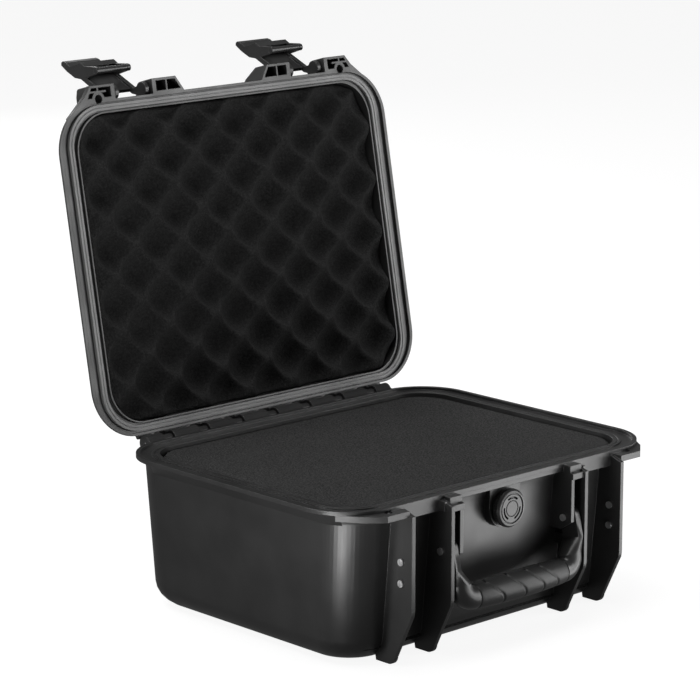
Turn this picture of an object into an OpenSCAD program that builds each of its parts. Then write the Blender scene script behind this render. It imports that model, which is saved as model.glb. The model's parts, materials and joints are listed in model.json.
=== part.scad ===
// Hard equipment case with a hinged lid, two over-centre latches, a bail handle,
// a pressure valve and foam in both halves. Millimetres, +Z up, front towards -Y.
// The origin is at the middle of the underside.

/* [Case] */
// Width of the base rim, side to side
rim_w = 333; // [320:1:360]
// Depth of the base rim, front to back
rim_d = 260; // [250:1:280]
// Height of the base rim's top edge
rim_z = 122; // [118:1:130]
// Radius of the base rim's corners
rim_r = 44; // [36:1:50]
// Wall thickness of both shells
wall = 3; // [2.5:0.1:4]
// Height of the closed lid above the rim
lid_h = 33; // [30:1:45]
// How far the lid stands open
open_angle = 100.7; // [0:0.1:110]

/* [Latches] */
// Middle of each latch, from the centre line
latch_x = 90.7; // [88:0.1:93]
// Width of a latch lever
latch_w = 33.4; // [28:0.1:34]
// Turn of a lever between closed and standing open
latch_turn = 151; // [120:1:152]

/* [Handle] */
// Middle of each handle arm, from the centre line
arm_x = 65.1; // [64.8:0.1:65.4]
// Distance from the handle's pivot to the middle of its grip
handle_reach = 38.8; // [36:0.1:42]
// How far forward the handle hangs
handle_lean = 12; // [11:0.1:20]
// Largest radius of the rubber grip
grip_r = 10.8; // [9.6:0.1:11.4]

/* [Valve] */
// Height of the pressure valve
valve_z = 98; // [92:1:100]
// Radius of the valve's outer ring
valve_r = 14.6; // [13:0.1:15]

/* [Hidden] */
$fn = 96;

plastic = "#3a3a3a";
rubber = "#4a4a4a";
foam = "#2c2c2c";
steel = "#c8c8c8";

// Base rim: half sizes, flange thickness, sealing channel and inner ridge
rim_hx = rim_w / 2;
rim_hy = rim_d / 2;
flange_t = 3.2;
channel_out = 3.5;
channel_in = 12;
channel_z = rim_z - 2.2;
ridge_z = rim_z - 1.2;
ridge_mark = 14.2;

// Tub walls: half width, front and rear at the floor, and how far each leans out per mm
tub_x0 = rim_hx - 20.2;
tub_front0 = rim_hy - 20.8;
tub_rear0 = rim_hy - 6.4;
tub_lean = [0.05, 0.09, 0.045];
tub_r = rim_r - 12;
tub_fillet = 18;
cavity_x0 = tub_x0 - wall - 0.5;
cavity_front0 = tub_front0 - wall - 0.4;
cavity_rear0 = rim_hy - 20;
cavity_lean = [0.046, 0.0636, 0.028];
cavity_r = tub_r - 3;
cavity_fillet = 14;
floor_z = wall + 0.5;
foam_gap = 0.6;

// Recesses between the buttresses of the back wall
recess_w = 26;
recess_y = rim_hy - 13;
recess_z = [16, rim_z - 22];

// Front ribs: thickness, front plane and inner faces
rib_t = 3.2;
rib_y = -rim_hy - 11;
rib_outer_x = 109.1;
rib_inner_x = 69.3;
rib_short_x = 57.6;
foot_y = -117;
foot_r = 7;
head_r = 2.7;
rib_pin_y = -rim_hy;
rib_pin_z = [79.5, 63.5];
pin_r = 2;
run_gap = 0.05;

// Latch bay band, the strip of rim that a closed hook bar pulls up against
band_bottom_z = rim_z - 11.7;

// Padlock holes, shared by the base lugs and the lid ears
lock_x = 126.2;
lock_y = -rim_hy - 0.5;
lock_r = 3.4;
lug_top_z = rim_z - 2.8;
lug_t = 4.8;

// Hinge: axis, pin and knuckles
hinge_y = rim_hy + 6.5;
hinge_z = rim_z - 2.8;
hinge_half = 129;
hinge_pin_r = 1.5;
barrel_r = 6.3;
knuckle_r = 4.2;
lid_knuckle_w = 9.6;
slot_w = 10.4;
slot_pitch = 36;
slot_n = 3;

// Lid, in its closed place
lid_z = rim_z + 0.3;
lid_top = rim_z + lid_h;
lid_hx = rim_hx + 3.6;
lid_hy = rim_hy - 0.4;
lid_r = 40;
lid_flange_t = 3.5;
skirt_h = 4;
lid_wall_hx = rim_hx - 11;
lid_wall_hy = rim_hy - 7;
lid_cav_hx = lid_wall_hx - 3.7;
lid_cav_hy = lid_wall_hy - 3.6;
lid_fillet = 16;
seal_hx = rim_hx - 8.3;
seal_hy = rim_hy - 6.2;
seal_half = 2.25;
seal_r = 31;

// Latch pivot, hook bar and lever outline, closed place
pivot_y = -rim_hy - 4.3;
pivot_z = rim_z + 8;
bar_y = pivot_y + 8.3;
bar_z = pivot_z - 22.5;
bar_r = 2.5;
latch_pin_r = 1.6;
cheek_t = 3.4;
ear_gap_out = 109.5;
ear_gap_in = 72.2;
ear_y = -rim_hy - 11.3;

// Handle
pivot_h_y = rib_pin_y;
pivot_h_z = rib_pin_z[0];
arm_w = 5.2;
arm_d = 16;
arm_square = 16;
bend_r = 11;
bar_r_end = 9;
bend_x = arm_x + arm_w / 2 - bar_r_end;
core_r = 5;
grip_end_r = 9;
grip_half = 47;

// The stop that the handle arm's back rests on
stop_y = pivot_h_y + arm_d / 2 - 2.8;

// Valve: front of the pad it stands on, and its bore
pad_y = -rim_hy + 5.8;
pad_half = valve_r + 1.4;
valve_front = -rim_hy - 2;
valve_bore_r = 6;
valve_room = 9;
valve_wall_in = -(cavity_front0 + cavity_lean[1] * valve_z);

// A rectangle of half sizes hx, hy with true round corners
module rrect(hx, hy, r) {
    square([2 * hx, 2 * (hy - r)], center = true);
    square([2 * (hx - r), 2 * hy], center = true);
    for (sx = [-1, 1], sy = [-1, 1])
        translate([sx * (hx - r), sy * (hy - r)])
            circle(r);
}

// A thin slice of a shell at height z, for hulling
module slice(z, hx, hy, r) {
    translate([0, 0, z])
        linear_extrude(0.02)
            rrect(hx, hy, r, $fn = 64);
}

// A ring between two rounded rectangles, from z0 up to z1
module ring(z0, z1, hx, hy, r, t) {
    translate([0, 0, z0])
        linear_extrude(z1 - z0)
            difference() {
                rrect(hx, hy, r);
                rrect(hx - t, hy - t, r - t);
            }
}

// A slice through a tub at height z: half width, front and rear at the floor, leans, inset
module tub_slice(z, x0, front0, rear0, lean, r, inset) {
    front = front0 + lean[1] * z - inset;
    rear = rear0 + lean[2] * z - inset;
    translate([0, (rear - front) / 2, 0])
        slice(z, x0 + lean[0] * z - inset, (rear + front) / 2, r);
}

// A leaning tub with a rounded bottom edge: one convex body from z0 to z1
module tub_body(z0, z1, x0, front0, rear0, lean, r, fillet) {
    hull() {
        for (a = [0:15:90])
            tub_slice(z0 + fillet * (1 - cos(a)), x0, front0, rear0, lean,
                r - fillet * (1 - sin(a)) * 0.5, fillet * (1 - sin(a)));
        tub_slice(z1 - 0.02, x0, front0, rear0, lean, r, 0);
    }
}

// The outside of the tub
module tub_outer(z0, z1, fillet) {
    tub_body(z0, z1, tub_x0, tub_front0, tub_rear0, tub_lean, tub_r, fillet);
}

// Extrude a drawing made in (y, z) along X, from x0 to x1
module along_x(x0, x1) {
    translate([x0, 0, 0])
        rotate([90, 0, 90])
            linear_extrude(x1 - x0)
                children();
}

// A cylinder along X
module rod_x(x0, x1, y, z, r) {
    translate([x0, y, z])
        rotate([0, 90, 0])
            cylinder(h = x1 - x0, r = r);
}

// Copy a right-hand feature to the left
module both_sides() {
    children();
    mirror([1, 0, 0])
        children();
}

// ---------- Base ----------

// Full-height rib in (y, z), with a slanted lower end and a round foot
module rib_outline() {
    polygon([[-104, 0], [foot_y + 1.2, 0], [foot_y - foot_r * 0.8, foot_r * 0.5], [rib_y + 2.4, 36.5],
        [rib_y + 0.6, 40], [rib_y, 44], [rib_y, rim_z - 7], [-rim_hy, rim_z - 3.4],
        [-110, rim_z - 3.4], [-100, 20]]);
    translate([foot_y, foot_r])
        circle(foot_r);
}

// Short rib beside the handle arm
module short_rib_outline() {
    polygon([[-112, rim_z - 3.4], [-112, 70], [-127, 70], [rib_y + 3, 77],
        [rib_y + 3, rim_z - 7], [-rim_hy, rim_z - 3.4]]);
}

// Padlock lug at a front corner, right side, in (x, y)
module lug_outline() {
    polygon([[rib_outer_x + rib_t, -rim_hy - 8.4], [134, -rim_hy - 8.4], [147.5, -126.5],
        [158.5, -110], [150, -104], [rib_outer_x + rib_t, -118]]);
}

// One side's ribs, bay band, bridge over the handle arm and padlock lug
module front_details() {
    for (x = [rib_outer_x, rib_inner_x])
        along_x(x, x + rib_t)
            rib_outline();
    along_x(rib_short_x, rib_short_x + rib_t)
        short_rib_outline();
    // Latch bay band
    translate([rib_inner_x, -rim_hy, band_bottom_z])
        cube([rib_outer_x - rib_inner_x + rib_t, 14, rim_z - flange_t - band_bottom_z]);
    // Stop behind the handle arm
    translate([arm_x - 1, stop_y, 56])
        cube([rib_inner_x - arm_x + 1.5, 12, 8]);
    // Stepped bridge between the inner rib and the short rib
    translate([rib_short_x, rib_y + 1.6, band_bottom_z])
        cube([rib_inner_x + rib_t - rib_short_x, 16, 4.6]);
    translate([rib_short_x, rib_y + 4.6, band_bottom_z])
        cube([rib_inner_x + rib_t - rib_short_x - 3, 12, rim_z - 1.6 - band_bottom_z]);
    // Stepped hook at the top of the inner rib
    translate([rib_inner_x + rib_t - 0.2, rib_y + 5, rim_z - 11])
        cube([2.4, 8, 7]);
    translate([0, 0, lug_top_z - lug_t])
        linear_extrude(lug_t)
            lug_outline();
}

// Hinge barrel behind the rim, with slots for the lid's knuckles
module base_hinge() {
    difference() {
        union() {
            rod_x(-hinge_half, hinge_half, hinge_y, hinge_z, barrel_r);
            along_x(-hinge_half, hinge_half)
                polygon([[rim_hy - 8, rim_z - 17.3], [rim_hy - 2, rim_z - 17.3],
                    [hinge_y, hinge_z - barrel_r + 1], [hinge_y, hinge_z + barrel_r - 0.6],
                    [rim_hy - 1.5, rim_z - 0.6], [rim_hy - 8, rim_z - 0.6]]);
        }
        for (i = [-slot_n:slot_n])
            translate([i * slot_pitch - slot_w / 2, rim_hy - 0.2, hinge_z - barrel_r - 1])
                cube([slot_w, 20, 20]);
    }
}

module base_shell() {
    color(plastic)
        difference() {
            union() {
                tub_outer(0, rim_z - 8, tub_fillet);
                // Flare from the wall out to the flange
                hull() {
                    tub_slice(rim_z - 15, tub_x0, tub_front0, tub_rear0, tub_lean, tub_r, 0.4);
                    slice(rim_z - flange_t, rim_hx - 5.5, rim_hy - 5.5, rim_r - 5.5);
                }
                translate([0, 0, rim_z - flange_t])
                    linear_extrude(flange_t)
                        rrect(rim_hx, rim_hy, rim_r);
                both_sides()
                    front_details();
                base_hinge();
                // Pad behind the valve, round below it
                translate([-pad_half, pad_y, valve_z])
                    cube([2 * pad_half, 12, rim_z - flange_t / 2 - valve_z]);
                translate([0, pad_y, valve_z])
                    rotate([-90, 0, 0])
                        cylinder(h = 12, r = pad_half - 0.2);
                // Second step below the front of the flange
                translate([-rib_short_x - 1, -rim_hy + 0.8, rim_z - 2 * flange_t - 0.3])
                    cube([2 * rib_short_x + 2, 12, 1.5 * flange_t]);
            }
            // Inside
            tub_body(floor_z, rim_z + 1, cavity_x0, cavity_front0, cavity_rear0, cavity_lean, cavity_r,
                cavity_fillet);
            // Recesses of the back wall, between the hinge slots
            for (i = [-slot_n:slot_n - 1])
                translate([(i + 0.5) * slot_pitch - recess_w / 2, recess_y, recess_z[0]])
                    cube([recess_w, 20, recess_z[1] - recess_z[0]]);
            // Sealing channel, then the lower ridge inside it with a fine line along it
            ring(channel_z, rim_z + 1, rim_hx - channel_out, rim_hy - channel_out,
                rim_r - channel_out, channel_in - channel_out);
            translate([0, 0, ridge_z])
                linear_extrude(2)
                    rrect(rim_hx - channel_in, rim_hy - channel_in, rim_r - channel_in);
            ring(ridge_z - 0.6, rim_z, rim_hx - ridge_mark, rim_hy - ridge_mark,
                rim_r - ridge_mark, 0.8);
            // Padlock holes
            for (s = [-1, 1])
                translate([s * lock_x, lock_y, lug_top_z - lug_t - 1])
                    cylinder(h = lug_t + 2, r = lock_r);
            // Pin bores
            for (s = [-1, 1], z = rib_pin_z)
                translate([s * (rib_outer_x + rib_t / 2), 0, 0])
                    rod_x(-rib_t, rib_t, rib_pin_y, z, pin_r);
            for (s = [-1, 1])
                translate([s * arm_x, 0, 0])
                    rod_x(-9.5, 9.5, pivot_h_y, pivot_h_z, pin_r);
            rod_x(-hinge_half - 1, hinge_half + 1, hinge_y, hinge_z, hinge_pin_r);
            // Valve bore
            translate([0, pad_y - 1, valve_z])
                rotate([-90, 0, 0])
                    cylinder(h = 20, r = valve_bore_r);
            // Shallow panel in the underside
            translate([0, 0, -1])
                linear_extrude(1.8)
                    rrect(100, 62, 14);
        }
}

// A slice through the foam of the base
module foam_slice(z, inset) {
    tub_slice(z, cavity_x0, cavity_front0, cavity_rear0, cavity_lean, cavity_r + 2, inset + foam_gap);
}

// Block of foam that fills the tub up to just under the ridge
module base_foam() {
    color(foam)
        difference() {
            hull() {
                foam_slice(10, 2.6);
                foam_slice(18, 0);
                foam_slice(rim_z - 3.5, 0);
            }
            // Room for the valve's nut
            translate([-12, -rim_hy, valve_z - 12])
                cube([24, rim_hy + valve_wall_in + valve_room, 24]);
        }
}

module base_foam_pad() {
    color(foam)
        hull() {
            foam_slice(floor_z, 14);
            foam_slice(9.98, 6);
        }
}

module hinge_pin() {
    color(steel)
        rod_x(-hinge_half + 1, hinge_half - 1, hinge_y, hinge_z, hinge_pin_r);
}

// Four short pins through the outer ribs
module rib_pins() {
    color(steel)
        for (s = [-1, 1], z = rib_pin_z)
            translate([s * (rib_outer_x + rib_t / 2), 0, 0]) {
                rod_x(-rib_t / 2 - 0.6, rib_t / 2 + 0.6, rib_pin_y, z, pin_r);
                for (e = [-1, 1])
                    translate([e * (rib_t / 2 + 0.7), 0, 0])
                        rod_x(-0.6, 0.6, rib_pin_y, z, head_r);
            }
}

// Handle pivot pin from the short rib to the inner full rib, side s, with a head at each end
module handle_pin(s) {
    ends = [s * (rib_short_x - 0.7), s * (rib_inner_x + rib_t + 0.7)];
    color(steel) {
        rod_x(min(ends), max(ends), pivot_h_y, pivot_h_z, pin_r);
        for (x = ends)
            rod_x(x - 0.6, x + 0.6, pivot_h_y, pivot_h_z, head_r);
    }
}

// ---------- Valve ----------

module along_valve(y) {
    translate([0, y, valve_z])
        rotate([-90, 0, 0])
            children();
}

// Flange behind the knob and a stem through the wall
module valve_body() {
    color(plastic)
        difference() {
            union() {
                along_valve(pad_y - 3)
                    cylinder(h = 2, r = valve_r - 0.8);
                along_valve(pad_y - 3)
                    cylinder(h = -pad_y + 3 + valve_wall_in + 7, r = valve_bore_r - 0.1);
            }
            along_valve(pad_y - 4)
                cylinder(h = 40, r = 3.5);
        }
}

module valve_oring() {
    color(rubber)
        along_valve(pad_y - 1)
            difference() {
                cylinder(h = 1, r = 9.5);
                translate([0, 0, -1])
                    cylinder(h = 3, r = valve_bore_r);
            }
}

module valve_nut() {
    color(plastic)
        along_valve(valve_wall_in + 1.1)
            difference() {
                cylinder(h = 4, r = 10, $fn = 6);
                translate([0, 0, -1])
                    cylinder(h = 6, r = valve_bore_r - 0.1);
            }
}

module valve_membrane() {
    color("#e8e8e8")
        along_valve(pad_y - 2.6)
            cylinder(h = 0.6, r = 3.5);
}

// Turning cap: outer ring, inner face with three arc slots and a middle disc
module valve_knob() {
    depth = -valve_front + pad_y - 3.2;
    color(plastic)
        along_valve(valve_front)
            difference() {
                rotate_extrude()
                    polygon([[0, 0.3], [5.6, 0.3], [5.8, 0.9], [6.2, 0.9], [6.4, 0.3], [10.6, 0.3],
                        [10.9, 1.1], [11.5, 1.1], [11.8, 0], [valve_r - 1.4, 0.3], [valve_r, 1.9],
                        [valve_r, depth], [0, depth]]);
                // Three arc slots
                for (a = [0, 120, 240])
                    rotate([0, 0, a])
                        translate([0, 0, -0.1])
                            rotate_extrude(angle = 72)
                                translate([7.6, 0])
                                    square([1.4, 2.4]);
                // Grip flutes round the ring
                for (a = [0:15:345])
                    rotate([0, 0, a])
                        translate([valve_r + 0.45, 0, 2.4])
                            cylinder(h = depth, r = 0.9);
            }
}

// ---------- Lid, drawn closed ----------

// Turns the closed lid to where it stands open
module lid_place() {
    translate([0, hinge_y, hinge_z])
        rotate([-open_angle, 0, 0])
            translate([0, -hinge_y, -hinge_z])
                children();
}

// Side view of both ears in (y, z)
module ear_side() {
    polygon([[ear_y, lid_z], [ear_y + 1.2, rim_z + 14], [ear_y + 9.8, rim_z + 21.4],
        [-lid_wall_hy + 2, rim_z + 24], [-lid_wall_hy + 2, lid_z]]);
}

// Front view of both ears in (x, z), lower towards the outer corner
module ear_front() {
    polygon([[30, lid_z], [150, lid_z], [150, lid_z + 8], [139, lid_z + 11], [122, lid_z + 25],
        [30, lid_z + 25]]);
}

// Ears of the right latch in plan, shared by the shell and its pockets
module ear_outer_plan() {
    polygon([[ear_gap_out, -118], [ear_gap_out, ear_y], [133, ear_y], [138.6, -133.5],
        [140, -112]]);
}

// Fillet between the outer ear and the flange
module ear_skirt_plan() {
    polygon([[130, -118], [130, ear_y], [133, ear_y], [139, -133.5], [157, -118.4], [150, -100]]);
}

module ear_inner_plan() {
    polygon([[ear_gap_in, -118], [ear_gap_in, ear_y], [48, ear_y], [39.5, -128], [39.5, -118]]);
}

// Pockets that open on the ears' undersides
module ear_pockets() {
    translate([0, 0, lid_z - 1])
        linear_extrude(11)
            difference() {
                union() {
                    polygon([[ear_gap_out + 4, -131.5], [ear_gap_out + 4, ear_y + 2], [132, ear_y + 2],
                        [136.5, -131.5]]);
                    polygon([[ear_gap_in - 4, -131.5], [ear_gap_in - 4, ear_y + 2], [49, ear_y + 2],
                        [44, -131.5]]);
                }
                // Boss and its cross webs
                translate([lock_x, lock_y])
                    circle(6);
                translate([lock_x - 0.8, ear_y])
                    square([1.6, 20]);
                translate([118, -137])
                    square([30, 1.6]);
                // Web inside the inner ear
                translate([57, ear_y])
                    square([1.6, 20]);
            }
}

module lid_hinge_arms() {
    for (i = [-slot_n:slot_n])
        translate([i * slot_pitch - lid_knuckle_w / 2, 0, 0]) {
            rod_x(0, lid_knuckle_w, hinge_y, hinge_z, knuckle_r);
            along_x(0, lid_knuckle_w)
                polygon([[lid_hy - 4, lid_z], [lid_hy - 1, lid_z], [lid_hy + 0.6, lid_z + 3],
                    [hinge_y - 3, lid_z + 0.6], [hinge_y - 3, hinge_z],
                    [hinge_y + knuckle_r, hinge_z], [hinge_y + knuckle_r, lid_z + 2],
                    [lid_hy + 1, lid_z + 10], [lid_hy - 8, lid_z + 12]]);
        }
}

module lid_shell() {
    color(plastic)
        lid_place()
            difference() {
                union() {
                    // Shallow shell with a rounded top edge
                    hull() {
                        slice(lid_z + 1, lid_wall_hx, lid_wall_hy, rim_r - 10);
                        for (a = [0:15:90]) {
                            h = lid_fillet * (1 - cos(a));
                            i = lid_fillet * (1 - sin(a));
                            slice(lid_top - 0.02 - h, lid_wall_hx - 1.5 - i, lid_wall_hy - 1.5 - i,
                                rim_r - 11 - i * 0.6);
                        }
                    }
                    // Flange, stepped in at the rear corners, and the flare above it
                    difference() {
                        union() {
                            translate([0, 0, lid_z])
                                linear_extrude(1.4)
                                    rrect(lid_hx, lid_hy, lid_r);
                            translate([0, 0, lid_z])
                                linear_extrude(lid_flange_t)
                                    rrect(lid_hx - 2.6, lid_hy - 0.4, lid_r - 1);
                            hull() {
                                slice(lid_z + lid_flange_t, lid_hx - 7, lid_hy - 3, lid_r - 3);
                                slice(lid_z + 12, lid_wall_hx, lid_wall_hy, rim_r - 10);
                            }
                        }
                        both_sides()
                            translate([lid_hx - 15.5, lid_hy - 9, lid_z - 1])
                                cube([30, 30, 30]);
                    }
                    both_sides()
                        intersection() {
                            along_x(0, 180)
                                ear_side();
                            rotate([90, 0, 0])
                                translate([0, 0, 100])
                                    linear_extrude(60)
                                        ear_front();
                            translate([0, 0, lid_z])
                                linear_extrude(40) {
                                    ear_outer_plan();
                                    ear_inner_plan();
                                }
                        }
                    both_sides()
                        translate([0, 0, lid_z])
                            linear_extrude(skirt_h)
                                ear_skirt_plan();
                    lid_hinge_arms();
                    // Bead over the barrel that closes the gap behind the open lid
                    along_x(-hinge_half, hinge_half)
                        polygon([[lid_hy - 3, lid_z + 3.2], [hinge_y - 3.6, lid_z + 3.2],
                            [hinge_y - 3.6, lid_z + 6], [lid_hy - 3, lid_z + 9]]);
                    // Raised panel on the top
                    translate([0, 0, lid_top - 1])
                        linear_extrude(2.2)
                            rrect(112, 76, 16);
                }
                // Inside
                hull() {
                    slice(lid_z - 1, lid_cav_hx, lid_cav_hy, rim_r - 14);
                    slice(lid_top - wall - 8, lid_cav_hx - 1, lid_cav_hy - 1, rim_r - 15);
                    slice(lid_top - wall - 0.02, lid_cav_hx - 9, lid_cav_hy - 9, rim_r - 22);
                }
                // Gasket groove with the step outside it
                ring(lid_z + 2.3, lid_z + 3, seal_hx + seal_half, seal_hy + seal_half,
                    seal_r + seal_half, 2 * seal_half);
                translate([0, 0, lid_z - 1])
                    linear_extrude(3.3)
                        difference() {
                            rrect(lid_hx - 3, lid_hy - 2.2, lid_r - 3);
                            rrect(lid_cav_hx + 1.3, lid_cav_hy + 1.3, rim_r - 12.7);
                        }
                ear_pockets();
                for (s = [-1, 1])
                    translate([s * lock_x, lock_y, lid_z - 2])
                        cylinder(h = 40, r = lock_r);
                mirror([1, 0, 0])
                    ear_pockets();
                // Latch pin and hinge pin bores
                for (s = [-1, 1])
                    translate([s * latch_x, 0, 0])
                        rod_x(-22, 22, pivot_y, pivot_z, latch_pin_r);
                rod_x(-hinge_half, hinge_half, hinge_y, hinge_z, hinge_pin_r + run_gap);
            }
}

// Gasket with a fine line along its middle
module lid_gasket() {
    color("#8a8a8a")
        lid_place()
            difference() {
                ring(lid_z - 0.15, lid_z + 3, seal_hx + seal_half, seal_hy + seal_half,
                    seal_r + seal_half, 2 * seal_half);
                ring(lid_z - 1, lid_z + 0.4, seal_hx + 0.4, seal_hy + 0.4, seal_r + 0.4, 0.8);
            }
}

module lid_foam() {
    color(foam)
        lid_place()
            union() {
                hull() {
                    slice(lid_z - 0.5, lid_cav_hx - 1, lid_cav_hy - 1, rim_r - 15);
                    slice(lid_top - wall - 8.2, lid_cav_hx - 2, lid_cav_hy - 2, rim_r - 16);
                    slice(lid_top - wall - 0.02, lid_cav_hx - 10, lid_cav_hy - 10, rim_r - 23);
                }
                translate([0, 0, rim_z - 3])
                    linear_extrude(6)
                        rrect(lid_cav_hx - 7, lid_cav_hy - 9, rim_r - 20);
            }
}

// The two stub pins of one latch, each from an ear into the lever's eye
module latch_pin(s) {
    color(steel)
        lid_place()
            translate([s * latch_x, 0, 0])
                for (e = [-1, 1])
                    translate([e * (latch_w / 2 + 1.8), 0, 0])
                        rod_x(-3.4, 3.4, pivot_y, pivot_z, latch_pin_r);
}

// ---------- Latches, drawn closed, then turned open ----------

module latch_place(s) {
    lid_place()
        translate([s * latch_x, pivot_y, pivot_z])
            rotate([-latch_turn, 0, 0])
                children();
}

// End plate in (y, z) measured from the pivot: eye, arm, bracket for the bar and tail
module cheek_outline() {
    circle(5.6);
    translate([bar_y - pivot_y, bar_z - pivot_z])
        circle(2.75);
    polygon([[-5.6, 0], [-8.1, -9], [-5.2, -37], [-7.4, -44.5], [-6.6, -55], [-4.9, -63],
        [-1.1, -62.3], [-0.6, -58.5], [-1.5, -53.2], [1.5, -48], [6.8, -41.6], [6, -36],
        [10.8, -24.2], [6.6, -20.6], [-1.6, -31.5], [-3.4, -9], [0, -5.6], [4, -3.9]]);
}

// Outer skin that runs down to the finger lip and forks into the step plate
module skin_outline() {
    polygon([[-7.8, -12], [-5.2, -37], [-7.4, -44.5], [-6.6, -55], [-4.9, -63], [-2.8, -63.6],
        [-1.1, -62.3], [-0.6, -58.5], [-1.5, -53.2], [1.5, -48], [6.8, -41.6], [6, -36],
        [3.6, -36], [3.9, -40], [-1.4, -46], [-4.6, -44.5], [-2.6, -37], [-5.2, -12]]);
}

module latch_lever(s) {
    half = latch_w / 2;
    color(plastic)
        latch_place(s)
            difference() {
                union() {
                    along_x(-half, -half + cheek_t)
                        cheek_outline();
                    along_x(half - cheek_t, half)
                        cheek_outline();
                    along_x(-half, half)
                        skin_outline();
                }
                for (e = [-1, 1])
                    translate([e * (half + 0.2), 0, 0])
                        rod_x(-2.4, 2.4, 0, 0, latch_pin_r + run_gap);
                rod_x(-half - 1, half + 1, bar_y - pivot_y, bar_z - pivot_z, bar_r);
            }
}

module latch_bar(s) {
    color(plastic)
        latch_place(s)
            rod_x(-latch_w / 2, latch_w / 2, bar_y - pivot_y, bar_z - pivot_z, bar_r);
}

// ---------- Handle, drawn hanging straight down from its pivot ----------

module handle_place() {
    translate([0, pivot_h_y, pivot_h_z])
        rotate([-handle_lean, 0, 0])
            children();
}

// One arm with its eye and the quarter bend down to the bar, right side
module handle_arm() {
    difference() {
        union() {
            rod_x(arm_x - arm_w / 2, arm_x + arm_w / 2, 0, 0, arm_d / 2);
            translate([arm_x - arm_w / 2, -arm_d / 2, -arm_square])
                cube([arm_w, arm_d, arm_square]);
            // Flat arm thickening into the round bar
            hull() {
                translate([arm_x - arm_w / 2, -arm_d / 2, -arm_square])
                    cube([arm_w, arm_d, 0.02]);
                translate([bend_x, 0, bend_r - handle_reach])
                    cylinder(h = 0.02, r = bar_r_end, $fn = 48);
            }
            translate([bend_x - bend_r, 0, bend_r - handle_reach])
                rotate([90, 0, 0])
                    rotate_extrude(angle = -90)
                        translate([bend_r, 0])
                            circle(bar_r_end);
            rod_x(grip_half, bend_x - bend_r, 0, -handle_reach, bar_r_end);
        }
        rod_x(arm_x - 10, arm_x + 10, 0, 0, pin_r + run_gap);
    }
}

module handle_frame() {
    color(plastic)
        handle_place()
            union() {
                both_sides()
                    handle_arm();
                rod_x(-grip_half, grip_half, 0, -handle_reach, core_r);
            }
}

// Rubber grip, fuller in the middle than at its ends
module handle_grip() {
    color(rubber)
        handle_place()
            translate([0, 0, -handle_reach])
                rotate([0, 90, 0])
                    rotate_extrude()
                        polygon(concat([[core_r + 0.02, -grip_half], [grip_end_r, -grip_half]],
                            [for (t = [-0.94:0.1175:0.94])
                                [grip_end_r + (grip_r - grip_end_r) * pow(cos(90 * t), 0.6), t * grip_half]],
                            [[grip_end_r, grip_half], [core_r + 0.02, grip_half]]));
}

base_shell();
base_foam();
base_foam_pad();
hinge_pin();
rib_pins();
handle_pin(-1);  // handle_pin_left
handle_pin(1);  // handle_pin_right
valve_body();
valve_oring();
valve_nut();
valve_membrane();
valve_knob();
lid_shell();
lid_gasket();
lid_foam();
latch_pin(-1);  // latch_pin_left
latch_pin(1);  // latch_pin_right
latch_lever(-1);  // latch_lever_left
latch_lever(1);  // latch_lever_right
latch_bar(-1);  // latch_bar_left
latch_bar(1);  // latch_bar_right
handle_frame();
handle_grip();
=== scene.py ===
import json
from math import cos, pi, radians, sin, sqrt

import bpy
from mathutils import Matrix, Vector, noise


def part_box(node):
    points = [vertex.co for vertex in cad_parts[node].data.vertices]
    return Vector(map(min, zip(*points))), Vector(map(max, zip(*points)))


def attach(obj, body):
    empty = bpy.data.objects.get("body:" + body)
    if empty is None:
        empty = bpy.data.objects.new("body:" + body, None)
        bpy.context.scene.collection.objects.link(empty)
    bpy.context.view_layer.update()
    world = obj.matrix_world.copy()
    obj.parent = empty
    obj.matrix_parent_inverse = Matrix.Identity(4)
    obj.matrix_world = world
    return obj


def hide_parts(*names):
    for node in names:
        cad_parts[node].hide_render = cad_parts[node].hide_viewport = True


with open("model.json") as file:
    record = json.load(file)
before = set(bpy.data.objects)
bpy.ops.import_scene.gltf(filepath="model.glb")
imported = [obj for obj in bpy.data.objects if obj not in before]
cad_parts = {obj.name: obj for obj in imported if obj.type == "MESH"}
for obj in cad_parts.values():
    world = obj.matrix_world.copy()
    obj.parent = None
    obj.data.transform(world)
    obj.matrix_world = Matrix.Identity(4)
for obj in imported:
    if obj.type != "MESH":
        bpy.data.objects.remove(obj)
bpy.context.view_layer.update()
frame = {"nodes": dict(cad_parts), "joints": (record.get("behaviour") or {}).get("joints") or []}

MM = 0.001
NODES = frame["nodes"]
JOINTS = {joint["name"]: joint for joint in frame["joints"]}

# ---------- Camera ----------

# The camera stands to the left of the front, a little above the case
CAMERA_PLACE = (-1.59035, -1.64651, 0.71823)
CAMERA_PITCH = 77.15
CAMERA_YAW = -43.27
CAMERA_LENS = 158.6


def make_camera():
    data = bpy.data.cameras.new("camera")
    data.lens = CAMERA_LENS
    data.sensor_width = 36
    data.clip_end = 50
    camera = bpy.data.objects.new("camera", data)
    camera.location = CAMERA_PLACE
    camera.rotation_euler = (radians(CAMERA_PITCH), 0, radians(CAMERA_YAW))
    bpy.context.scene.collection.objects.link(camera)
    bpy.context.scene.camera = camera


# ---------- Lights and floor ----------

WORLD_LIGHT = 0.14
FLOOR_GLOW = 0.16
CASE_MIDDLE = (0, 0, 0.15)
LEFT_WALL = (0, 0, 0.08)

# Lights that stand round the case: name, place, target, size and power in watts
SOFTBOXES = (
    ("top_box", (-0.35, 0.35, 1.9), CASE_MIDDLE, (1.5, 1.5), 40),
    ("front_box", (1.9, -2.0, 0.8), CASE_MIDDLE, (1.3, 1.4), 34),
    ("side_box", (-2.0, 0.75, 0.5), LEFT_WALL, (0.5, 1.3), 24),
    ("back_box", (0.8, 2.2, 0.9), CASE_MIDDLE, (1.2, 1.2), 14),
)

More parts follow.
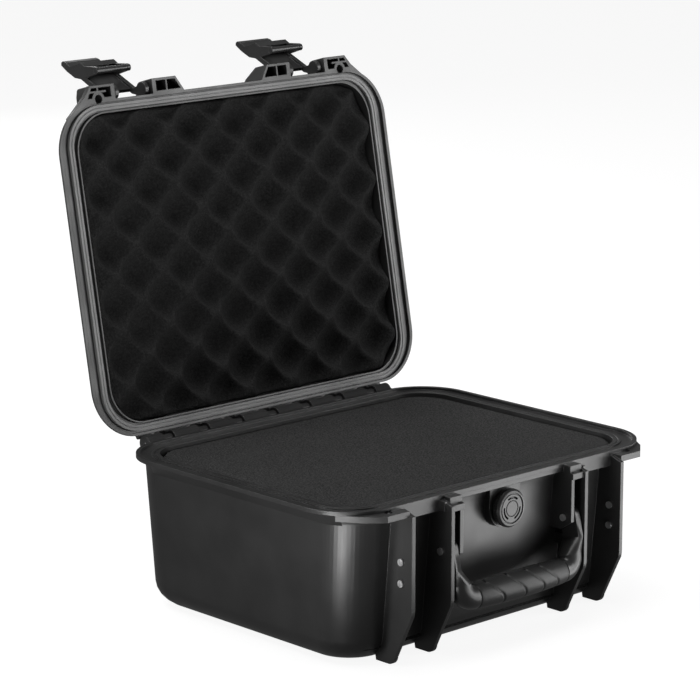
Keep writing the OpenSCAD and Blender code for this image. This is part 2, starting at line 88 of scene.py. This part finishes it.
# Lights that lie on the floor: name, middle, size and radiance
LIGHT_TABLES = (
    ("corner_table", (-0.62, -0.2), (0.7, 0.14), 16),
    ("front_table", (0.52, -0.64), (0.95, 0.9), 4.6),
)
TABLE_HEIGHT = 0.001


def softbox(name, place, target, size, power):
    data = bpy.data.lights.new(name, "AREA")
    data.shape = "RECTANGLE"
    data.size, data.size_y = size
    data.energy = power
    light = bpy.data.objects.new(name, data)
    light.location = place
    aim = Vector(target) - Vector(place)
    light.rotation_euler = aim.to_track_quat("-Z", "Y").to_euler()
    light.visible_camera = False
    bpy.context.scene.collection.objects.link(light)


def light_table(name, middle, size, radiance):
    """A glowing card that lies on the floor and shines up at the case."""
    place = (middle[0], middle[1], TABLE_HEIGHT)
    above = (middle[0], middle[1], 1)
    softbox(name, place, above, size, radiance * pi * size[0] * size[1])


def make_studio():
    scene = bpy.context.scene
    scene.view_settings.view_transform = "Standard"
    world = bpy.data.worlds.new("studio")
    world.use_nodes = True
    sky = world.node_tree.nodes["Background"]
    sky.inputs["Color"].default_value = (1, 1, 1, 1)
    sky.inputs["Strength"].default_value = WORLD_LIGHT
    scene.world = world
    for lamp in SOFTBOXES:
        softbox(*lamp)
    for lamp in LIGHT_TABLES:
        light_table(*lamp)


FLOOR_HALF = 15
FLOOR_DROP = 0.0004


def make_floor():
    """A pale sheet of paper that throws little light back at the case."""
    mesh = bpy.data.meshes.new("floor")
    half = FLOOR_HALF
    corners = [(-half, -half, 0), (half, -half, 0), (half, half, 0), (-half, half, 0)]
    mesh.from_pydata(corners, [], [(0, 1, 2, 3)])
    floor = bpy.data.objects.new("floor", mesh)
    bpy.context.scene.collection.objects.link(floor)
    floor.location.z = -FLOOR_DROP
    material = bpy.data.materials.new("floor_paper")
    material.use_nodes = True
    tree = material.node_tree
    paper = tree.nodes["Principled BSDF"]
    paper.inputs["Base Color"].default_value = (0.12, 0.12, 0.12, 1)
    paper.inputs["Roughness"].default_value = 0.9
    paper.inputs["Emission Color"].default_value = (1, 1, 1, 1)
    paper.inputs["Emission Strength"].default_value = 0.9
    glow = tree.nodes.new("ShaderNodeEmission")
    glow.inputs["Strength"].default_value = FLOOR_GLOW
    path = tree.nodes.new("ShaderNodeLightPath")
    mix = tree.nodes.new("ShaderNodeMixShader")
    tree.links.new(path.outputs["Is Camera Ray"], mix.inputs["Fac"])
    tree.links.new(glow.outputs[0], mix.inputs[1])
    tree.links.new(paper.outputs[0], mix.inputs[2])
    tree.links.new(mix.outputs[0], tree.nodes["Material Output"].inputs["Surface"])
    mesh.materials.append(material)


# ---------- Materials ----------


class Shader:
    """A material with a Principled shader and short ways to add nodes to it."""

    def __init__(self, name):
        self.material = bpy.data.materials.new(name)
        self.material.use_nodes = True
        self.tree = self.material.node_tree
        self.surface = self.tree.nodes["Principled BSDF"]
        self.place = self.add("ShaderNodeTexCoord").outputs["Object"]

    def add(self, kind, **inputs):
        node = self.tree.nodes.new(kind)
        for key, value in inputs.items():
            node.inputs[key.replace("_", " ")].default_value = value
        return node

    def link(self, source, target):
        self.tree.links.new(source, target)

    def noise(self, scale, detail=2.0, roughness=0.5):
        node = self.add("ShaderNodeTexNoise", Scale=scale, Detail=detail, Roughness=roughness)
        self.link(self.place, node.inputs["Vector"])
        return node.outputs["Fac"]

    def cells(self, scale):
        node = self.add("ShaderNodeTexVoronoi", Scale=scale)
        self.link(self.place, node.inputs["Vector"])
        return node.outputs["Distance"]

    def spread(self, value, low, high, start=0.3, end=0.7):
        """Maps a value from start..end to low..high."""
        node = self.add("ShaderNodeMapRange")
        self.link(value, node.inputs["Value"])
        node.inputs["From Min"].default_value = start
        node.inputs["From Max"].default_value = end
        node.inputs["To Min"].default_value = low
        node.inputs["To Max"].default_value = high
        return node.outputs["Result"]

    def blend(self, factor, first, second):
        node = self.tree.nodes.new("ShaderNodeMix")
        node.data_type = "RGBA"
        self.link(factor, node.inputs["Factor"])
        for socket, value in ((node.inputs[6], first), (node.inputs[7], second)):
            if isinstance(value, tuple):
                socket.default_value = (*value, 1)
            else:
                self.link(value, socket)
        return node.outputs[2]

    def bump(self, height, strength, distance, normal=None):
        node = self.add("ShaderNodeBump", Strength=strength, Distance=distance)
        self.link(height, node.inputs["Height"])
        if normal:
            self.link(normal, node.inputs["Normal"])
        return node.outputs["Normal"]

    def round_edges(self, radius):
        node = self.add("ShaderNodeBevel", Radius=radius)
        node.samples = 6
        return node.outputs["Normal"]

    def edge_mask(self, rounded):
        """1 along sharp edges and 0 on flat faces."""
        flat = self.add("ShaderNodeNewGeometry").outputs["True Normal"]
        node = self.tree.nodes.new("ShaderNodeVectorMath")
        node.operation = "DOT_PRODUCT"
        self.link(rounded, node.inputs[0])
        self.link(flat, node.inputs[1])
        return self.spread(node.outputs["Value"], 1, 0, 0.75, 0.98)


def grey(value, warmth=0.0):
    return (value * (1 + warmth), value, value * (1 - warmth))


def moulded(name, tone, roughness, grain=900, grain_depth=0.00006, edge=0.0006, shine=0.5):
    """Moulded plastic: fine grain, soft mottling, rounded edges painted paler, partly as rubbed wear
    and partly as painted highlight.
    """
    shader = Shader(name)
    rounded = shader.round_edges(edge)
    mottle = shader.noise(14, 3)
    fine = shader.noise(grain, 2, 0.6)
    # Sharp edges are painted paler: part rubbed wear, part painted highlight standing in for light
    # along the edges
    edge_wear_and_highlight = shader.edge_mask(rounded)
    scuff = shader.noise(160, 3)
    base = shader.blend(shader.spread(mottle, 0, 1), grey(tone * 0.8), grey(tone * 1.2))
    edge_wear_and_highlight_mix = shader.tree.nodes.new("ShaderNodeMath")
    edge_wear_and_highlight_mix.operation = "MULTIPLY"
    shader.link(edge_wear_and_highlight, edge_wear_and_highlight_mix.inputs[0])
    shader.link(shader.spread(scuff, 0.15, 0.85), edge_wear_and_highlight_mix.inputs[1])
    # Painted edge highlight and wear: edges blend towards a paler grey, broken up by the scuff noise
    colour = shader.blend(edge_wear_and_highlight_mix.outputs[0], base, grey(tone * 3.0 + 0.012))
    shader.link(colour, shader.surface.inputs["Base Color"])
    rough = shader.spread(shader.noise(45, 3), roughness - 0.05, roughness + 0.05)
    shader.link(rough, shader.surface.inputs["Roughness"])
    shader.link(shader.bump(fine, 0.5, grain_depth, rounded), shader.surface.inputs["Normal"])
    shader.surface.inputs["Specular IOR Level"].default_value = shine
    return shader.material


def foam_material(name, tone, pore=900, speckle=2.4):
    """Open-cell foam: fine pores over a slightly uneven dark surface."""
    shader = Shader(name)
    pores = shader.cells(pore)
    speck = shader.noise(pore * 0.7, 3, 0.7)
    patch = shader.noise(26, 3)
    base = shader.blend(shader.spread(patch, 0, 1), grey(tone * 0.85), grey(tone * 1.15))
    colour = shader.blend(shader.spread(speck, 0, 1, 0.4, 0.66), base, grey(tone * speckle))
    shader.link(colour, shader.surface.inputs["Base Color"])
    shader.surface.inputs["Roughness"].default_value = 0.95
    shader.surface.inputs["Specular IOR Level"].default_value = 0.12
    coarse = shader.bump(speck, 0.9, 0.0006)
    shader.link(shader.bump(pores, 0.8, 0.0005, coarse), shader.surface.inputs["Normal"])
    return shader.material


def steel_material():
    shader = Shader("drawn_steel")
    shade = shader.noise(300, 3)
    colour = shader.blend(shader.spread(shade, 0, 1), grey(0.6), grey(0.8))
    shader.link(colour, shader.surface.inputs["Base Color"])
    shader.surface.inputs["Metallic"].default_value = 1
    shader.link(shader.spread(shade, 0.28, 0.45), shader.surface.inputs["Roughness"])
    shader.link(shader.bump(shade, 0.3, 0.00005), shader.surface.inputs["Normal"])
    return shader.material


def film_material():
    shader = Shader("vent_film")
    weave = shader.cells(2500)
    shader.link(shader.spread(weave, 0.5, 0.75, 0, 0.6), shader.surface.inputs["Base Color"])
    shader.surface.inputs["Roughness"].default_value = 0.8
    shader.link(shader.bump(weave, 0.4, 0.00005), shader.surface.inputs["Normal"])
    return shader.material


WELD_GAP = 0.00001
SHARP_ANGLE = 32


def smooth_node(node):
    """Shades a CAD node smoothly across its small facets, and keeps its real edges sharp."""
    weld = node.modifiers.new("weld", "WELD")
    weld.merge_threshold = WELD_GAP
    split = node.modifiers.new("edges", "EDGE_SPLIT")
    split.split_angle = radians(SHARP_ANGLE)
    split.use_edge_sharp = False
    node.modifiers.new("normals", "WEIGHTED_NORMAL").keep_sharp = False


def paint_nodes():
    for name in ("base_shell", "lid_shell", "handle_frame"):
        smooth_node(NODES[name])
    shell = moulded("shell_plastic", 0.016, 0.36, grain_depth=0.00002)
    latch = moulded("latch_plastic", 0.018, 0.32, grain_depth=0.00002, edge=0.0005)
    handle = moulded("handle_plastic", 0.018, 0.34, grain_depth=0.00002)
    rubber = moulded("seal_rubber", 0.13, 0.42, grain=1400, grain_depth=0.00003, edge=0.0004)
    steel = steel_material()
    film = film_material()
    finishes = {
        shell: ("base_shell", "lid_shell", "valve_body"),
        latch: ("latch_lever_left", "latch_lever_right", "latch_bar_left", "latch_bar_right",
                "valve_knob", "valve_nut"),
        handle: ("handle_frame",),
        rubber: ("lid_gasket", "valve_oring"),
        steel: ("hinge_pin", "rib_pins", "handle_pin_left", "handle_pin_right",
                "latch_pin_left", "latch_pin_right"),
        film: ("valve_membrane",),
    }
    for material, names in finishes.items():
        for name in names:
            for place in NODES[name].material_slots:
                place.material = material


# ---------- Mesh helpers ----------


def new_piece(name, points, faces, material):
    mesh = bpy.data.meshes.new(name)
    mesh.from_pydata(points, [], faces)
    mesh.update()
    mesh.materials.append(material)
    piece = bpy.data.objects.new(name, mesh)
    bpy.context.scene.collection.objects.link(piece)
    mesh.polygons.foreach_set("use_smooth", [True] * len(mesh.polygons))
    return piece


def edge_distance(x, y, hx, hy, r):
    """How far (x, y) lies inside a rounded rectangle."""
    qx = abs(x) - (hx - r)
    qy = abs(y) - (hy - r)
    outside = sqrt(max(qx, 0) ** 2 + max(qy, 0) ** 2)
    return r - outside - min(max(qx, qy), 0)


def rounded_row(y, hx, hy, r):
    """Half width of a rounded rectangle at y."""
    over = abs(y) - (hy - r)
    if over <= 0:
        return hx
    return hx - r + sqrt(max(r * r - over * over, 0))


def steps(low, high, count):
    return [low + (high - low) * i / count for i in range(count + 1)]


# How far down the side of a foam block its rings of points lie, from the face to the back
SIDE_LEVELS = (0.15, 0.5, 1.0)


def foam_block(name, half, r, face, back, taper, relief, material, pitch, soft, centre=(0, 0)):
    """A block whose front is a fine grid at height face + relief(x, y), in mm.

    Its sides run to height back, drawn in by taper, and soft is the radius of its front edge.
    centre holds the y of the middle of the front and of the back."""
    hx, hy = half
    direction = 1 if face > back else -1
    rows = steps(-hy, hy, round(2 * hy / pitch))
    columns = steps(-1, 1, round(2 * hx / pitch))
    points = []
    for y in rows:
        width = rounded_row(y, hx, hy, r)
        for u in columns:
            x = u * width
            inside = min(max(edge_distance(x, y, hx, hy, r), 0), soft)
            drop = soft - sqrt(soft * soft - (soft - inside) ** 2)
            points.append((x, y, face + relief(x, y) - direction * drop))
    wide = len(columns)
    faces = []
    for j in range(len(rows) - 1):
        for i in range(wide - 1):
            a = j * wide + i
            faces.append((a, a + 1, a + wide + 1, a + wide))
    last = (len(rows) - 1) * wide
    rim = list(range(wide))
    rim += [j * wide + wide - 1 for j in range(1, len(rows))]
    rim += [last + i for i in range(wide - 2, -1, -1)]
    rim += [j * wide for j in range(len(rows) - 2, 0, -1)]
    rings = [rim]
    for level in SIDE_LEVELS:
        ring = []
        for index in rim:
            x, y, z = points[index]
            ring.append(len(points))
            points.append((x * (1 - taper[0] * level / hx), y * (1 - taper[1] * level / hy),
                           z + (back - z) * level))
        rings.append(ring)
    for upper, lower in zip(rings, rings[1:]):
        for i in range(len(rim)):
            k = (i + 1) % len(rim)
            faces.append((upper[k], upper[i], lower[i], lower[k]))
    faces.append(tuple(rings[-1]))
    if direction < 0:
        faces = [tuple(reversed(face_points)) for face_points in faces]
    front, rear = centre
    placed = [(x, y + front + (rear - front) * (z - face) / (back - face), z) for x, y, z in points]
    return new_piece(name, [Vector(p) * MM for p in placed], faces, material)


def closed_to_open(piece):
    """Turns a piece drawn on the closed lid to where the lid stands open."""
    joint = JOINTS["lid_hinge"]
    pivot = Vector(joint["pos_m"])
    turn = Matrix.Rotation(-radians(max(joint["range_deg"])), 4, "X")
    piece.data.transform(Matrix.Translation(pivot) @ turn @ Matrix.Translation(-pivot))
    piece.data.update()


# ---------- Foam ----------

RIM_Z = 122
LID_FOAM_FACE = RIM_Z - 0.9
LID_FOAM_BACK = RIM_Z + 29.5
LID_FOAM_HALF = (151.4, 119.0)
LID_FOAM_TAPER = (10, 10)
LID_FOAM_PITCH = 1.6
FOAM_CORNER = 31

# Egg-crate pits: spacing in x and y, the middle of one pit, radius and depth
PIT_PITCH = (47.2, 43.0)
PIT_PLACE = (9.2, -102.0)
PIT_R = 18.5
EGG_DEPTH = 15
PIT_BLEND = 0.03
# The pits grow shallower over this last stretch before the foam's edge
EDGE_FADE = 14


def egg_crate(x, y):
    """Height above the ridges' tips, of round pits in two interleaved rows."""
    nearest = PIT_PITCH[0]
    for shift in (0, 0.5):
        u = (x - PIT_PLACE[0]) / PIT_PITCH[0] - shift
        v = (y - PIT_PLACE[1]) / PIT_PITCH[1] - shift
        du = (u - round(u)) * PIT_PITCH[0]
        dv = (v - round(v)) * PIT_PITCH[1]
        nearest = min(nearest, sqrt(du * du + dv * dv))
    bowl = 1 - (nearest / PIT_R) ** 2
    pit = (bowl + sqrt(bowl * bowl + PIT_BLEND)) / 2
    inside = edge_distance(x, y, LID_FOAM_HALF[0], LID_FOAM_HALF[1], FOAM_CORNER)
    fade = 0.5 + 0.5 * min(inside / EDGE_FADE, 1)
    uneven = noise.noise(Vector((x, y, 3.0)) * 0.02) * 0.6
    return (EGG_DEPTH + uneven) * pit * fade


def flat_foam(x, y):
    """Slight waviness of a cut foam face."""
    broad = noise.noise(Vector((x, y, 9.0)) * 0.05) * 0.12
    fine = noise.noise(Vector((x, y, 1.0)) * 0.4) * 0.06
    return broad + fine


def make_foams():
    egg = foam_material("egg_crate_foam", 0.009)
    block = foam_material("block_foam", 0.010, 1100, 4.5)
    lid = foam_block("lid_foam_egg_crate", LID_FOAM_HALF, FOAM_CORNER, LID_FOAM_FACE,
                     LID_FOAM_BACK, LID_FOAM_TAPER, egg_crate, egg, LID_FOAM_PITCH, 3.0)
    closed_to_open(lid)
    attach(lid, "lid")
    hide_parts("lid_foam")
    make_base_foam("base_foam_block", "base_foam", block, (4.8, 4.8), 31, 0.6, 2.0, 1.6, 2.5)
    make_base_foam("base_foam_lower_pad", "base_foam_pad", block, (8, 8), 22, 2.0, 0, 1.0, 6)


# How far a base foam stays inside its node's top and foot
TOP_GAP = 0.1
FOOT_GAP = 0.2


def make_base_foam(name, node, material, taper, r, gap, shift, soft, pitch):
    """A block of foam inside a node's box, that stays gap clear of its sides.

    shift is how much further back the middle of its top lies than the middle of its foot."""
    low, high = [[value / MM for value in corner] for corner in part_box(node)]
    half = ((high[0] - low[0]) / 2 - gap, (high[1] - low[1]) / 2 - gap)
    middle = (low[1] + high[1]) / 2
    piece = foam_block(name, half, r, high[2] - TOP_GAP, low[2] + FOOT_GAP, taper, flat_foam, material,
                       pitch, soft, (middle, middle - shift))
    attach(piece, "base")
    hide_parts(node)


# ---------- Grip ----------

# Grooves' places along half the grip, their depth and half width
GROOVE_PLACES = (-0.68, -0.2, 0.22, 0.55)
GROOVE_DEPTH = 1.0
GROOVE_WIDTH = 1.2
# How far a groove bows and slants along the grip as it goes round
GROOVE_BOW = 7
GROOVE_SLANT = 5
# How much fuller the middle is than the ends, and the mesh steps round and along
GRIP_SWELL = 1.8
GRIP_AROUND = 72
GRIP_ALONG = 188
# The ends of the sleeve are rounded over this length and depth
GRIP_EDGE = 1.5
GRIP_EDGE_DEPTH = 1.2


def make_grip():
    """A rubber sleeve, fuller in the middle, with curved grooves across it."""
    low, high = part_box("handle_grip")
    half = (high[0] - low[0]) / 2 / MM
    full = (high[2] - low[2]) / 2 / MM
    middle = Vector((0, (low[1] + high[1]) / 2, (low[2] + high[2]) / 2))
    end = full - GRIP_SWELL
    points = []
    for x in steps(-half, half, GRIP_ALONG):
        swell = max(cos(pi / 2 * x / half), 0) ** 0.6
        edge = min((half - abs(x)) / GRIP_EDGE, 1)
        body = end + (full - end) * swell - GRIP_EDGE_DEPTH * (1 - sqrt(1 - (1 - edge) ** 2))
        for k in range(GRIP_AROUND):
            angle = 2 * pi * k / GRIP_AROUND
            # The grooves fade out behind the grip
            depth = GROOVE_DEPTH * min(max(0.35 + sin(angle - 0.4) - 0.6 * cos(angle), 0), 1)
            cut = 0
            for place in GROOVE_PLACES:
                bow = GROOVE_BOW * cos(angle - 0.3) ** 2
                centre = place * half + bow - GROOVE_SLANT * sin(angle)
                offset = abs(x - centre) / GROOVE_WIDTH
                if offset < 1:
                    cut = max(cut, depth * (1 - offset * offset))
            radius = body - cut
            points.append((x, radius * cos(angle), radius * sin(angle)))
    faces = []
    for j in range(GRIP_ALONG):
        first = j * GRIP_AROUND
        for k in range(GRIP_AROUND):
            n = (k + 1) % GRIP_AROUND
            faces.append((first + GRIP_AROUND + k, first + GRIP_AROUND + n, first + n, first + k))
    # Flat ends
    last = GRIP_ALONG * GRIP_AROUND
    faces.append(tuple(range(GRIP_AROUND)))
    faces.append(tuple(reversed(range(last, last + GRIP_AROUND))))
    rubber = moulded("grip_rubber", 0.016, 0.5, grain=1100, grain_depth=0.00008, shine=0.4)
    grip = new_piece("grip_sleeve", [Vector(p) * MM + middle for p in points], faces, rubber)
    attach(grip, "handle")
    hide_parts("handle_grip")


make_camera()
make_studio()
make_floor()
paint_nodes()
make_foams()
make_grip()
